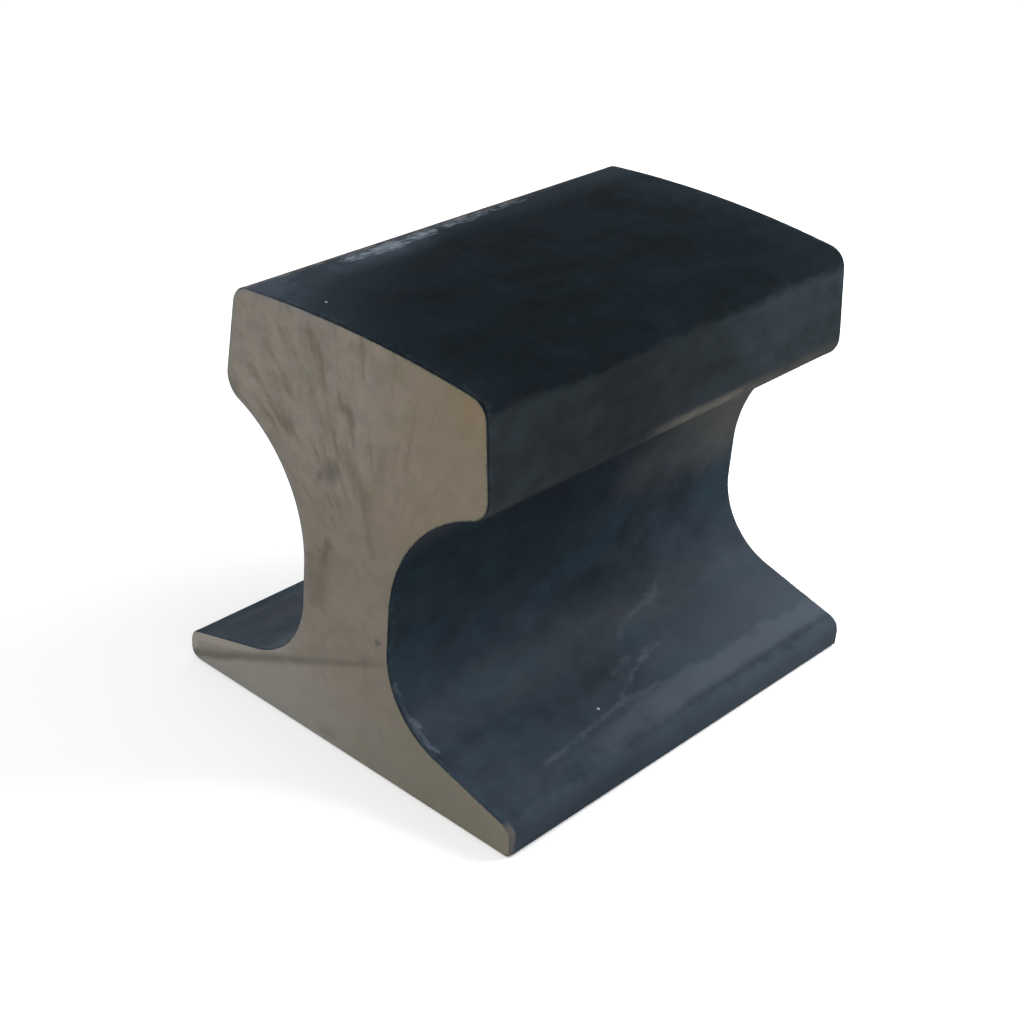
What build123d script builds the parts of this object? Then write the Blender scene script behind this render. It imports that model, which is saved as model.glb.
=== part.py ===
from build123d import *
import os
from math import atan, pi, sqrt, tan

# Crane rail: a short length of flat-bottomed rail, rolled in one piece from steel and sawn square.
# Frame: +Y runs along the rail and +Z up. The origin is the middle of the foot's underside.

# Driving dimensions, in millimetres
RAIL_LENGTH = 200.0
RAIL_HEIGHT = 170.0         # from the foot's underside to the top of the crown
FOOT_WIDTH = 170.0
FOOT_EDGE = 12.0            # height of the foot's edge, up to its sharp corner
FOOT_CREST = 35.0           # height at which the foot's two slopes would meet in the middle
HEAD_TOP_WIDTH = 120.0      # across the sharp corners at the crown
HEAD_LOW_WIDTH = 129.0      # across the sharp lower corners
HEAD_DEPTH = 45.0           # from the top of the crown down to the sharp lower corners
WEB_THICKNESS = 44.0        # where the web is thinnest
CROWN_RADIUS = 500.0        # running surface
HEAD_HOLLOW_RADIUS = 56.0   # sweep from the web out to the head
FOOT_HOLLOW_RADIUS = 34.0   # sweep from the web out to the foot
FOOT_HOLLOW_SHARE = 0.95    # most of the straight web that the foot's hollow may take up
HEAD_TOP_ROUND = 8.0
HEAD_LOW_ROUND = 10.0
FOOT_TOP_ROUND = 6.0
FOOT_LOW_ROUND = 2.0
END_BREAK = 0.5             # chamfer round both sawn ends

# Half widths and heights that the section's corners share
HALF_FOOT = FOOT_WIDTH / 2
HALF_WEB = WEB_THICKNESS / 2
HALF_HEAD_TOP = HEAD_TOP_WIDTH / 2
HALF_HEAD_LOW = HEAD_LOW_WIDTH / 2
FOOT_SLOPE = (FOOT_CREST - FOOT_EDGE) / HALF_FOOT
FOOT_AT_WEB = FOOT_CREST - FOOT_SLOPE * HALF_WEB
HEAD_LOW = RAIL_HEIGHT - HEAD_DEPTH
HEAD_TOP = RAIL_HEIGHT - CROWN_RADIUS + sqrt(CROWN_RADIUS**2 - HALF_HEAD_TOP**2)

# The head's hollow leaves the web upright and ends at the head's lower corner
OVERHANG = HALF_HEAD_LOW - HALF_WEB
HOLLOW_START = HEAD_LOW - sqrt(OVERHANG * (2 * HEAD_HOLLOW_RADIUS - OVERHANG))

# The foot's hollow turns from the foot's slope up to the web, and the web's straight part limits its radius
FOOT_TURN = pi / 2 - atan(FOOT_SLOPE)
FOOT_HOLLOW_ROOM = FOOT_HOLLOW_SHARE * (HOLLOW_START - FOOT_AT_WEB) / tan(FOOT_TURN / 2)
FOOT_HOLLOW = min(FOOT_HOLLOW_RADIUS, FOOT_HOLLOW_ROOM)


def sharp_section():
    """The rail's section before its corners are rounded, as a face in the XY plane."""
    web_high = (HALF_WEB, HOLLOW_START)
    head_low = (HALF_HEAD_LOW, HEAD_LOW)
    head_top = (HALF_HEAD_TOP, HEAD_TOP)
    flank = Polyline((HALF_FOOT, 0), (HALF_FOOT, FOOT_EDGE), (HALF_WEB, FOOT_AT_WEB), web_high)
    flank += TangentArc(web_high, head_low, tangent=(0, 1))
    flank += Line(head_low, head_top)
    crown = ThreePointArc(head_top, (0, RAIL_HEIGHT), (-HALF_HEAD_TOP, HEAD_TOP))
    underside = Line((-HALF_FOOT, 0), (HALF_FOOT, 0))
    return make_face(flank + crown + mirror(flank, about=Plane.YZ) + underside)


def round_pair(section, x, z, radius):
    """Rounds the corner at (x, z) and its mirror image."""
    corners = [section.vertices().sort_by_distance((side * x, z))[0] for side in (1, -1)]
    return fillet(corners, radius)


def rail_section():
    """The rolled section with its hollows over the foot and its rounded corners."""
    section = sharp_section()
    section = round_pair(section, HALF_WEB, FOOT_AT_WEB, FOOT_HOLLOW)
    section = round_pair(section, HALF_FOOT, 0, FOOT_LOW_ROUND)
    section = round_pair(section, HALF_FOOT, FOOT_EDGE, FOOT_TOP_ROUND)
    section = round_pair(section, HALF_HEAD_LOW, HEAD_LOW, HEAD_LOW_ROUND)
    return round_pair(section, HALF_HEAD_TOP, HEAD_TOP, HEAD_TOP_ROUND)


def crane_rail():
    """The section drawn out along Y, with the edges of both sawn ends broken."""
    bar = extrude(Plane.XZ * rail_section(), RAIL_LENGTH / 2, both=True)
    sawn_ends = bar.faces().filter_by(Axis.Y)
    return chamfer(sawn_ends.edges(), END_BREAK)


rail = crane_rail()
rail.label = "crane_rail"
os.makedirs("parts", exist_ok=True)
export_step(rail, "parts/crane_rail.step")
print("volume mm3", round(rail.volume), "section area mm2", round(rail_section().area, 1))
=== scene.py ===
import math

import bpy
from mathutils import Matrix, Vector


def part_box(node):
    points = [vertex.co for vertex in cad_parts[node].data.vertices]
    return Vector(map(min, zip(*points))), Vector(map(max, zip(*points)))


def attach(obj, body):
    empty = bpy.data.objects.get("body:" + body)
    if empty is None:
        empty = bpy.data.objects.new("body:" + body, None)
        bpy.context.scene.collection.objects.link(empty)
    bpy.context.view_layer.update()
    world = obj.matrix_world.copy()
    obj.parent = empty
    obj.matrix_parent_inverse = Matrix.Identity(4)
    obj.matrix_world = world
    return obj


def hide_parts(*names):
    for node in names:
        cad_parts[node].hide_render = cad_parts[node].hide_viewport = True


# Crane rail: a dark, scale-covered length of rolled rail with two sawn ends, on a plain pale floor.
# Everything is in metres in the part's frame: +Y along the rail, +Z up, the floor at Z = 0.
# Patterns and the places of marks are in millimetres in the same frame.

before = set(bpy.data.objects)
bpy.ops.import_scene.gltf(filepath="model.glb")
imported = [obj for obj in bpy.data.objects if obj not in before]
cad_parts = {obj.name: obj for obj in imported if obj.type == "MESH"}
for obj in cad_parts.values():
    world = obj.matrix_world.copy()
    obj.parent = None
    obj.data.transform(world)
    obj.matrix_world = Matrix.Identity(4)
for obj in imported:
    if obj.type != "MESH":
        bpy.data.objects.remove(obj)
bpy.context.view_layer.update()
rail_low, rail_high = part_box("crane_rail")

MM = 0.001

# Section of the rail, with the same sizes as the solid
RAIL_LENGTH = rail_high.y - rail_low.y
RAIL_HEIGHT = rail_high.z
HALF_FOOT = rail_high.x
HALF_WEB = 22 * MM
HALF_HEAD_TOP = 60 * MM
HALF_HEAD_LOW = 64.5 * MM
HEAD_DEPTH = 45 * MM
FOOT_EDGE = 12 * MM
FOOT_CREST = 35 * MM
CROWN_RADIUS = 500 * MM
HEAD_HOLLOW_RADIUS = 56 * MM
FOOT_HOLLOW_RADIUS = 34 * MM
HEAD_TOP_ROUND = 8 * MM
HEAD_LOW_ROUND = 10 * MM
FOOT_TOP_ROUND = 6 * MM
FOOT_LOW_ROUND = 2 * MM
END_BREAK = 0.5 * MM

# Mesh of the skin
SKIN_STEP = 1.45 * MM           # between rows round the section
ARC_STEP = math.radians(14)     # most that one row turns from the next
COLUMNS_ALONG = 124
SHARP_EDGE = math.radians(24)
SAME_PLACE = 0.02 * MM          # closer points are one point

# Relief, all of it cut inward from the section
ROLL_WAVE_DEPTH = 0.16 * MM
PIT_DEPTH = 0.3 * MM
SCRAPE_DEPTH = 0.25 * MM
SAW_WAVE_DEPTH = 0.14 * MM
SAW_STEP_DEPTH = 0.5 * MM
EDGE_WANDER = 0.8 * MM          # how far the broken edge wanders along the rail
FAR_WANDER = 0.3                # share of that at the far end, which is the cleaner cut
TIP_WEAR = 1.6 * MM             # how far the foot's right tip is worn back at the near end
CORNER_WEAR = 1.25 * MM         # how far the foot's left low corner is worn off at the near end
EDGE_SEED = 3.0

# Half length of the rail in millimetres, for patterns
END = RAIL_LENGTH / 2 / MM

# Ramps that place the relief, from where it is absent to where it is full, in millimetres
TIP_WEAR_ACROSS = (78, 84)
TIP_WEAR_UP = (16, 10)
CORNER_WEAR_AWAY = (5.5, 0.6)   # from the sharp corner
CORNER_WEAR_ALONG = (-60, -98)
ENDS_CLEAR = (0.6, 3.0)         # from the sawn ends, on the rolled faces
RIM_CLEAR = (0.4, 2.0)          # from the rim, on the sawn ends
SAW_STEP_FACE = (-0.6, 0.6)     # up across the line where two cuts meet
SAW_STEP_RUN_OUT = (6.0, 0.8)   # down to that line

# Noise patterns: scale per millimetre, detail and roughness
ROLL_WAVE_NOISE = (0.05, 2.0, 0.5)
GOUGE_NOISE = (0.55, 3.0, 0.7)
EDGE_NOISE = (0.35, 3.0, 0.65)
SAW_WAVE_NOISE = (0.16, 2.0, 0.5)
CLOUD_NOISE = (0.04, 3.0, 0.55)
BLOTCH_NOISE = (0.11, 4.0, 0.55)
STREAK_NOISE = (0.14, 3.0, 0.6)
RAGGED_NOISE = (0.3, 3.0, 0.6)
GRAIN_NOISE = (1.3, 2.0, 0.6)
TEAL_NOISE = (0.05, 3.0, 0.5)
CHIP_NOISE = (0.3, 3.0, 0.6)
SAW_STREAK_NOISE = (0.2, 4.0, 0.58)
SAW_LINE_NOISE = (1.0, 2.0, 0.6)
SAWN_GRAIN_NOISE = (1.2, 3.0, 0.6)
SAWN_CLOUD_NOISE = (0.05, 3.0, 0.5)
SAWN_BLOTCH_NOISE = (0.12, 3.0, 0.55)
SAWN_HUE_NOISE = (0.07, 3.0, 0.5)
NICK_NOISE = (0.4, 3.0, 0.65)

# Share of its length that a pattern keeps when it is drawn out along the rail
FINE_DRAW = 0.3
RAGGED_DRAW = 0.35
TEAL_DRAW = 0.5
CLOUD_DRAW = 0.6

# Random jogs that make marks ragged: scale per millimetre and reach
CUT_JOG = (0.08, 1.2)
WISPY_JOG = (0.3, 2.2)
CROWN_JOG = (0.13, 3.2)
STAIN_JOG = (0.3, 3.4)

STROKE_FADE = (1.8, 0.1)        # shares of its half width over which a stroke fades in


# Node trees

def find(sockets, key):
    """The socket with that index, identifier or name."""
    if isinstance(key, int):
        return sockets[key]
    named = [socket for socket in sockets if socket.identifier == key]
    return named[0] if named else sockets[key]


class Link:
    """An output socket. Arithmetic on it adds Math nodes to its tree."""

    def __init__(self, tree, socket):
        self.tree = tree
        self.socket = socket

    def __add__(self, other):
        return self.tree.math("ADD", self, other)

    def __sub__(self, other):
        return self.tree.math("SUBTRACT", self, other)

    def __rsub__(self, other):
        return self.tree.math("SUBTRACT", other, self)

    def __mul__(self, other):
        return self.tree.math("MULTIPLY", self, other)

    def __truediv__(self, other):
        return self.tree.math("DIVIDE", self, other)

    def __neg__(self):
        return self.tree.math("MULTIPLY", self, -1.0)

    def __abs__(self):
        return self.tree.math("ABSOLUTE", self)


class Tree:
    """A node tree, for a material or for geometry, that is written as expressions."""

    def __init__(self, nodes):
        self.nodes = nodes

    def node(self, kind, settings=None, sockets=None, output=0):
        """Adds a node, sets its settings and then its sockets, and returns one of its outputs."""
        made = self.nodes.nodes.new(kind)
        for name, value in (settings or {}).items():
            setattr(made, name, value)
        for key, value in (sockets or {}).items():
            self.feed(find(made.inputs, key), value)
        return Link(self, find(made.outputs, output)) if made.outputs else made

    def feed(self, socket, value):
        """Links a socket, or several links to one socket, or sets its value."""
        if isinstance(value, list):
            for link in value:
                self.nodes.links.new(link.socket, socket)
        elif isinstance(value, Link):
            self.nodes.links.new(value.socket, socket)
        else:
            socket.default_value = value

    def other(self, link, output):
        """Another output of the node that a link comes from."""
        return Link(self, find(link.socket.node.outputs, output))

    def math(self, operation, *values):
        return self.node("ShaderNodeMath", {"operation": operation}, dict(enumerate(values)))

    def lesser(self, first, second):
        return self.math("MINIMUM", first, second)

    def larger(self, first, second):
        return self.math("MAXIMUM", first, second)

    def vector(self, operation, *values):
        sockets = dict(enumerate(values))
        output = "Value" if operation in ("DOT_PRODUCT", "DISTANCE") else "Vector"
        return self.node("ShaderNodeVectorMath", {"operation": operation}, sockets, output)

    def scaled(self, vector, factor):
        sockets = {"Vector": vector, "Scale": factor}
        return self.node("ShaderNodeVectorMath", {"operation": "SCALE"}, sockets)

    def combine(self, x=0.0, y=0.0, z=0.0):
        return self.node("ShaderNodeCombineXYZ", sockets={"X": x, "Y": y, "Z": z})

    def parts(self, vector):
        x = self.node("ShaderNodeSeparateXYZ", sockets={"Vector": vector})
        return x, self.other(x, "Y"), self.other(x, "Z")

    def ease(self, value, start, end, at_start=0.0, at_end=1.0):
        """Goes smoothly from at_start to at_end as the value goes from start up or down to end."""
        settings = {"interpolation_type": "SMOOTHSTEP", "clamp": True}
        sockets = {"Value": value, "From Min": start, "From Max": end, "To Min": at_start, "To Max": at_end}
        return self.node("ShaderNodeMapRange", settings, sockets)

    def within(self, value, middle, half, soft):
        """1 within half of the middle, falling smoothly to 0 over the next soft."""
        return self.ease(abs(value - middle), half + soft, half)

    def noise(self, vector, scale, detail=2.0, roughness=0.5, output="Fac"):
        sockets = {"Vector": vector, "Scale": scale, "Detail": detail, "Roughness": roughness}
        return self.node("ShaderNodeTexNoise", {"noise_dimensions": "3D"}, sockets, output)

    def mix(self, factor, first, second):
        """The colour between two colours."""
        settings = {"data_type": "RGBA", "clamp_factor": True}
        sockets = {"Factor_Float": factor, "A_Color": first, "B_Color": second}
        return self.node("ShaderNodeMix", settings, sockets, "Result_Color")

    def stroke(self, place, start, end):
        """Distance from a place to the straight line between two points."""
        run = Vector(end) - Vector(start)
        offset = self.vector("SUBTRACT", place, start)
        along = self.vector("DOT_PRODUCT", offset, run)
        settings = {"operation": "DIVIDE", "use_clamp": True}
        share = self.node("ShaderNodeMath", settings, {0: along, 1: run.length_squared})
        return self.vector("DISTANCE", offset, self.scaled(run, share))

    def smudge(self, place, strokes):
        """The strongest of some soft strokes, each given as start, end, half width and strength."""
        strongest = 0.0
        for start, end, half, strength in strokes:
            fade = [half * share for share in STROKE_FADE]
            soft = self.ease(self.stroke(place, start, end), *fade, 0.0, strength)
            strongest = self.larger(soft, strongest)
        return strongest

    def jogged(self, place, scale, reach):
        """The place moved at random by up to about reach, so that marks drawn on it get ragged edges."""
        jog = self.vector("SUBTRACT", self.noise(place, scale, 3.0, output="Color"), (0.5, 0.5, 0.5))
        return self.vector("ADD", place, self.scaled(jog, 2 * reach))


def tint(code):
    """A colour written as six hexadecimal digits, as the linear colour that a socket takes."""
    channels = [int(code[i:i + 2], 16) / 255 for i in (0, 2, 4)]
    linear = [c / 12.92 if c <= 0.04045 else ((c + 0.055) / 1.055) ** 2.4 for c in channels]
    return (*linear, 1.0)


# Marks that the relief and the finishes share, from a place in millimetres

# Patches of the scrape along the crown's left side: x, y, half width, half length, strength
SCRAPES = (
    (-49.8, -50, 3.6, 9, 0.75),
    (-49.3, -36, 4.2, 10, 1.0),
    (-50.0, -17, 3.6, 9, 0.85),
    (-51.2, 3, 3.2, 12, 0.72),
    (-51.6, 26, 2.8, 16, 0.52),
)
SAW_FAN = (15, 75)              # x and z of the point on the web that the saw's streaks fan out from
SAW_FAN_REACH = 70              # how far from it a streak has its nominal width
SAW_FAN_CLEAR = (18, 45)        # distance from it over which the streaks set in
SAW_FAN_UP = (82, 100)          # height over which the streaks set in
SAW_FAN_DRAW = 0.25             # share of its length that the pattern keeps along a streak
SAW_ENDS_APART = 0.2            # keeps the streaks of the two ends apart
SAW_STEP_LINE = (-82.6, 0.7, 21.2, 47.9)    # x and z where the line between two cuts starts and ends
SAW_STEP_PAST = 3               # the line is gone this far past its end
SAW_STEP_SHORT = 14             # and full this far short of it
PIT_SCALE = 0.075               # cells per millimetre
PIT_RARITY = 0.66               # share of cells without a pit
PIT_LEAST = 0.1                 # radius of the smallest pit, in cells
PIT_GROWTH = 0.14               # how much larger a pit may be
PIT_CORE = 0.02                 # radius of its flat middle
SCRAPE_ACROSS = (1.6, 0.2)      # shares of a patch's half width over which it sets in
SCRAPE_ALONG = (1.5, 0.4)       # and of its half length
SCRAPE_GAIN = 0.36              # what a patch adds to the noise
SCRAPE_CUT = (0.56, 1.04)       # noise over which a gouge sets in
SCRAPE_UP = (150, 160)          # height over which it sets in


def along_rail(tree, place, share):
    """The place with its length drawn in, so that noise on it runs along the rail."""
    return tree.vector("MULTIPLY", place, (1.0, share, 1.0))


def roll_waves(tree, place):
    """0 to 1, in soft waves that run along the rail."""
    return tree.noise(along_rail(tree, place, FINE_DRAW), *ROLL_WAVE_NOISE)


def pits(tree, place):
    """1 in the middle of sparse shallow pits."""
    near = tree.node("ShaderNodeTexVoronoi", {"feature": "F1"}, {"Vector": place, "Scale": PIT_SCALE})
    chance, _, size = tree.parts(tree.other(near, "Color"))
    hollow = tree.ease(near, size * PIT_GROWTH + PIT_LEAST, PIT_CORE)
    return hollow * tree.math("GREATER_THAN", chance, PIT_RARITY)


def scrape(tree, place):
    """1 in the gouges of the scrape along the crown's left side."""
    x, y, z = tree.parts(place)
    window = 0.0
    for middle_x, middle_y, half_width, half_length, strength in SCRAPES:
        patch = tree.ease(abs(x - middle_x) / half_width, *SCRAPE_ACROSS, 0.0, strength)
        patch = patch * tree.ease(abs(y - middle_y) / half_length, *SCRAPE_ALONG)
        window = tree.larger(patch, window)
    gouges = tree.noise(along_rail(tree, place, FINE_DRAW), *GOUGE_NOISE)
    gouged = tree.ease(gouges + window * SCRAPE_GAIN, *SCRAPE_CUT)
    return gouged * tree.ease(window, 0.0, 0.5) * tree.ease(z, *SCRAPE_UP)


def saw_fan(tree, place):
    """A place on a sawn end as (across the saw's streaks, along them, end), and 1 where it has streaks."""
    x, y, z = tree.parts(place)
    out = SAW_FAN[0] - x
    up = z - SAW_FAN[1]
    turn = tree.math("ARCTAN2", up, out)
    reach = tree.math("SQRT", out * out + up * up)
    spread = tree.combine(turn * SAW_FAN_REACH, reach * SAW_FAN_DRAW, y * SAW_ENDS_APART)
    return spread, tree.ease(reach, *SAW_FAN_CLEAR) * tree.ease(z, *SAW_FAN_UP)


def saw_step(tree, place):
    """Height above the line where two cuts meet on a sawn end, and 1 along that line's length."""
    x, _, z = tree.parts(tree.jogged(place, *CUT_JOG))
    start_x, start_z, end_x, end_z = SAW_STEP_LINE
    slope = math.atan2(end_z - start_z, end_x - start_x)
    height = (z - start_z) * math.cos(slope) - (x - start_x) * math.sin(slope)
    return height, tree.ease(x, end_x + SAW_STEP_PAST, end_x - SAW_STEP_SHORT)


# Half section

def straight_round(before, corner, after, radius):
    """Start, centre and end of the arc that rounds the corner between two straight lines."""
    back = (before - corner).normalized()
    ahead = (after - corner).normalized()
    half = back.angle(ahead) / 2
    middle = (back + ahead).normalized()
    reach = radius / math.tan(half)
    return corner + back * reach, corner + middle * (radius / math.sin(half)), corner + ahead * reach


def round_centre(corner, along, inward, radius, centre, distance):
    """Centre of the arc that touches the line through a corner, at a distance from another arc's centre."""
    base = corner + inward * radius
    offset = base - centre
    half = offset.dot(along)
    return base + along * (math.sqrt(half**2 - offset.length_squared + distance**2) - half)


def half_outline():
    """The section's right half from under the foot to the crown, as (point, centre of the arc after it)."""
    slope = (FOOT_CREST - FOOT_EDGE) / HALF_FOOT
    middle = Vector((0, 0))
    foot_corner = Vector((HALF_FOOT, 0))
    edge_corner = Vector((HALF_FOOT, FOOT_EDGE))
    web_corner = Vector((HALF_WEB, FOOT_CREST - slope * HALF_WEB))
    crown = Vector((0, RAIL_HEIGHT))
    crown_centre = crown - Vector((0, CROWN_RADIUS))
    drop = CROWN_RADIUS - math.sqrt(CROWN_RADIUS**2 - HALF_HEAD_TOP**2)
    head_top = Vector((HALF_HEAD_TOP, RAIL_HEIGHT - drop))
    head_low = Vector((HALF_HEAD_LOW, RAIL_HEIGHT - HEAD_DEPTH))
    overhang = HALF_HEAD_LOW - HALF_WEB
    rise = math.sqrt(overhang * (2 * HEAD_HOLLOW_RADIUS - overhang))
    web_top = Vector((HALF_WEB, head_low.y - rise))
    hollow_centre = web_top + Vector((HEAD_HOLLOW_RADIUS, 0))
    side = (head_top - head_low).normalized()
    inward = Vector((-side.y, side.x))
    low_round = round_centre(
        head_low, side, inward, HEAD_LOW_ROUND, hollow_centre, HEAD_HOLLOW_RADIUS + HEAD_LOW_ROUND
    )
    top_round = round_centre(
        head_top, side, inward, HEAD_TOP_ROUND, crown_centre, CROWN_RADIUS - HEAD_TOP_ROUND
    )
    foot_round = straight_round(middle, foot_corner, edge_corner, FOOT_LOW_ROUND)
    edge_round = straight_round(foot_corner, edge_corner, web_corner, FOOT_TOP_ROUND)
    foot_hollow = straight_round(edge_corner, web_corner, web_top, FOOT_HOLLOW_RADIUS)
    hollow_end = hollow_centre + (low_round - hollow_centre).normalized() * HEAD_HOLLOW_RADIUS
    crown_start = crown_centre + (top_round - crown_centre).normalized() * CROWN_RADIUS
    return [
        (foot_round[0], foot_round[1]),
        (foot_round[2], None),
        (edge_round[0], edge_round[1]),
        (edge_round[2], None),
        (foot_hollow[0], foot_hollow[1]),
        (foot_hollow[2], None),
        (web_top, hollow_centre),
        (hollow_end, low_round),
        (low_round - inward * HEAD_LOW_ROUND, None),
        (top_round - inward * HEAD_TOP_ROUND, top_round),
        (crown_start, crown_centre),
        (crown, None),
    ]


def outline_rows(outline):
    """Points along an outline, close enough for the skin's rows."""
    rows = []
    for (start, centre), (end, _) in zip(outline, outline[1:]):
        if centre is None:
            steps = math.ceil((end - start).length / SKIN_STEP)
            rows += [start.lerp(end, i / steps) for i in range(steps)]
            continue
        spoke = start - centre
        turn = spoke.angle_signed(end - centre)
        steps = math.ceil(max(abs(turn) * spoke.length / SKIN_STEP, abs(turn) / ARC_STEP))
        rows += [centre + Matrix.Rotation(-turn * i / steps, 2) @ spoke for i in range(steps)]
    return rows + [outline[-1][0]]


def half_section_curve():
    """The half section as a curve, with the counts of its points below the crown and on it."""
    outline = half_outline()
    side = outline_rows(outline[:-1])
    crown = outline_rows(outline[-2:])[1:]
    rows = side + crown
    curve = bpy.data.curves.new("half_section", "CURVE")
    curve.dimensions = "3D"
    spline = curve.splines.new("POLY")
    spline.points.add(len(rows) - 1)
    for point, place in zip(spline.points, rows):
        point.co = (place.x, 0, place.y, 1)
    return curve, len(side), len(crown)


# Rail skin

SKIN_SIZES = {
    "Length": RAIL_LENGTH,
    "End Break": END_BREAK,
    "Edge Wander": EDGE_WANDER,
    "Far Wander": FAR_WANDER,
    "Tip Wear": TIP_WEAR,
    "Corner Wear": CORNER_WEAR,
    "Roll Wave Depth": ROLL_WAVE_DEPTH,
    "Pit Depth": PIT_DEPTH,
    "Scrape Depth": SCRAPE_DEPTH,
    "Saw Wave Depth": SAW_WAVE_DEPTH,
    "Saw Step Depth": SAW_STEP_DEPTH,
    "Seed": EDGE_SEED,
}
SKIN_COUNTS = ("Side Rows", "Crown Rows", "Columns Along")
SAME_COLUMN = 0.25              # two columns nearer than this are one
EDGE_NOTCHED = (0.45, 0.75)     # noise over which the broken edge is notched
EDGES_APART = 40                # keeps the notches of the two ends apart


def skin_tree():
    """Geometry nodes that draw the half section out into a closed skin with rows and columns of faces."""
    group = bpy.data.node_groups.new("rail_skin", "GeometryNodeTree")
    tree = Tree(group)
    face = group.interface
    face.new_socket("Half Section", in_out="INPUT", socket_type="NodeSocketGeometry")
    for name in SKIN_SIZES:
        face.new_socket(name, in_out="INPUT", socket_type="NodeSocketFloat")
    for name in SKIN_COUNTS:
        face.new_socket(name, in_out="INPUT", socket_type="NodeSocketInt")
    for name in ("Rolled Finish", "Sawn Finish"):
        face.new_socket(name, in_out="INPUT", socket_type="NodeSocketMaterial")
    face.new_socket("Skin", in_out="OUTPUT", socket_type="NodeSocketGeometry")

    half = tree.node("NodeGroupInput", output="Half Section")
    length = tree.other(half, "Length")
    end_break = tree.other(half, "End Break")
    side_rows = tree.other(half, "Side Rows")
    crown_rows = tree.other(half, "Crown Rows")
    along = tree.other(half, "Columns Along")
    across = crown_rows * 2 + 1
    index = tree.node("GeometryNodeInputIndex")
    position = tree.node("GeometryNodeInputPosition")
    tangent_x, _, tangent_z = tree.parts(tree.node("GeometryNodeInputTangent"))
    outward = tree.combine(tangent_z, 0.0, -tangent_x)

    def grid(rows, columns):
        """A sheet of vertices with the row and the column of each."""
        mesh = tree.node("GeometryNodeMeshGrid", sockets={"Vertices X": rows, "Vertices Y": columns})
        row = tree.math("FLOOR", (index + 0.5) / columns)
        return mesh, row, index - row * columns

    def at_row(row, inset):
        """The section's x and z at a row, moved in from its outline by the inset."""

        def sampled(field):
            settings = {"data_type": "FLOAT_VECTOR", "domain": "POINT"}
            sockets = {"Geometry": half, "Value": field, "Index": row}
            return tree.parts(tree.node("GeometryNodeSampleIndex", settings, sockets))

        x, _, z = sampled(position)
        out_x, _, out_z = sampled(outward)
        return x - out_x * inset, z - out_z * inset

    def under_crown(column):
        """How far out a column lies under the crown, from -1 to 1, and the crown's rise there."""
        away = column - crown_rows
        side_x, side_z = at_row(side_rows - 1, end_break)
        x, z = at_row(side_rows - 1 + crown_rows - abs(away), end_break)
        return tree.math("SIGN", away) * x / side_x, z - side_z

    def place_along(column, x, z):
        """Where a column lies along the rail, and 1 on the two columns at its ends."""
        last = along - 1
        reach = length / 2
        away = column - last / 2
        side = tree.math("SIGN", away)
        at_end = tree.math("COMPARE", abs(away), last / 2, SAME_COLUMN)
        by_end = tree.math("COMPARE", abs(away), last / 2 - 1, SAME_COLUMN)
        ragged = tree.combine(x / MM, side * EDGES_APART + tree.other(half, "Seed"), z / MM)
        ragged = tree.noise(ragged, *EDGE_NOISE)
        wander = tree.ease(ragged, *EDGE_NOTCHED) * tree.other(half, "Edge Wander")
        wander = wander * tree.ease(side, 0, 1, 1.0, tree.other(half, "Far Wander"))
        worn = tree.ease(x / MM, *TIP_WEAR_ACROSS) * tree.ease(z / MM, *TIP_WEAR_UP)
        worn = worn * tree.ease(side, 0, -1)
        wander = tree.larger(wander, worn * tree.other(half, "Tip Wear"))
        inside = away / (last / 2 - 1) * (reach - end_break)
        return inside * (1 - at_end) + side * (at_end * reach - by_end * wander), at_end

    def set_place(mesh, place):
        return tree.node("GeometryNodeSetPosition", sockets={"Geometry": mesh, "Position": place})

    def flank(side):
        mesh, row, column = grid(side_rows + crown_rows, along)
        full_x, full_z = at_row(row, 0.0)
        y, at_end = place_along(column, full_x * side, full_z)
        x, z = at_row(row, at_end * end_break)
        return set_place(mesh, tree.combine(x * side, y, z))

    def underside():
        mesh, row, column = grid(across, along)
        share, _ = under_crown(row)
        corner_x, corner_z = at_row(0, 0.0)
        y, at_end = place_along(column, corner_x * share, corner_z)
        x, z = at_row(0, at_end * end_break)
        return set_place(mesh, tree.combine(x * share, y, z))

    def end_face(side):
        mesh, row, column = grid(side_rows, across)
        share, rise = under_crown(column)
        x, z = at_row(row, end_break)
        lift = tree.ease(z, RAIL_HEIGHT - HEAD_DEPTH, RAIL_HEIGHT - HEAD_TOP_ROUND)
        return set_place(mesh, tree.combine(x * share, length / 2 * side, z + rise * lift))

    def flipped(mesh):
        return tree.node("GeometryNodeFlipFaces", sockets={"Mesh": mesh})

    def joined(parts):
        return tree.node("GeometryNodeJoinGeometry", sockets={"Geometry": parts})

    def stored(mesh, name, kind, domain, value):
        settings = {"data_type": kind, "domain": domain}
        sockets = {"Geometry": mesh, "Name": name, "Value": value}
        return tree.node("GeometryNodeStoreNamedAttribute", settings, sockets)

    def read(name, kind):
        return tree.node("GeometryNodeInputNamedAttribute", {"data_type": kind}, {"Name": name})

    def rim_distance():
        """Distance on an end face to the edge of the section, in millimetres."""
        right = tree.node("GeometryNodeCurveToMesh", sockets={"Curve": half})
        left = tree.node("GeometryNodeTransform", sockets={"Geometry": right, "Scale": (-1.0, 1.0, 1.0)})
        flat = tree.vector("MULTIPLY", position, (1.0, 0.0, 1.0))
        sockets = {"Target": joined([right, left]), "Source Position": flat}
        to_edge = tree.node("GeometryNodeProximity", {"target_element": "EDGES"}, sockets, "Distance")
        _, _, z = tree.parts(position)
        return tree.lesser(to_edge, z) / MM

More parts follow.
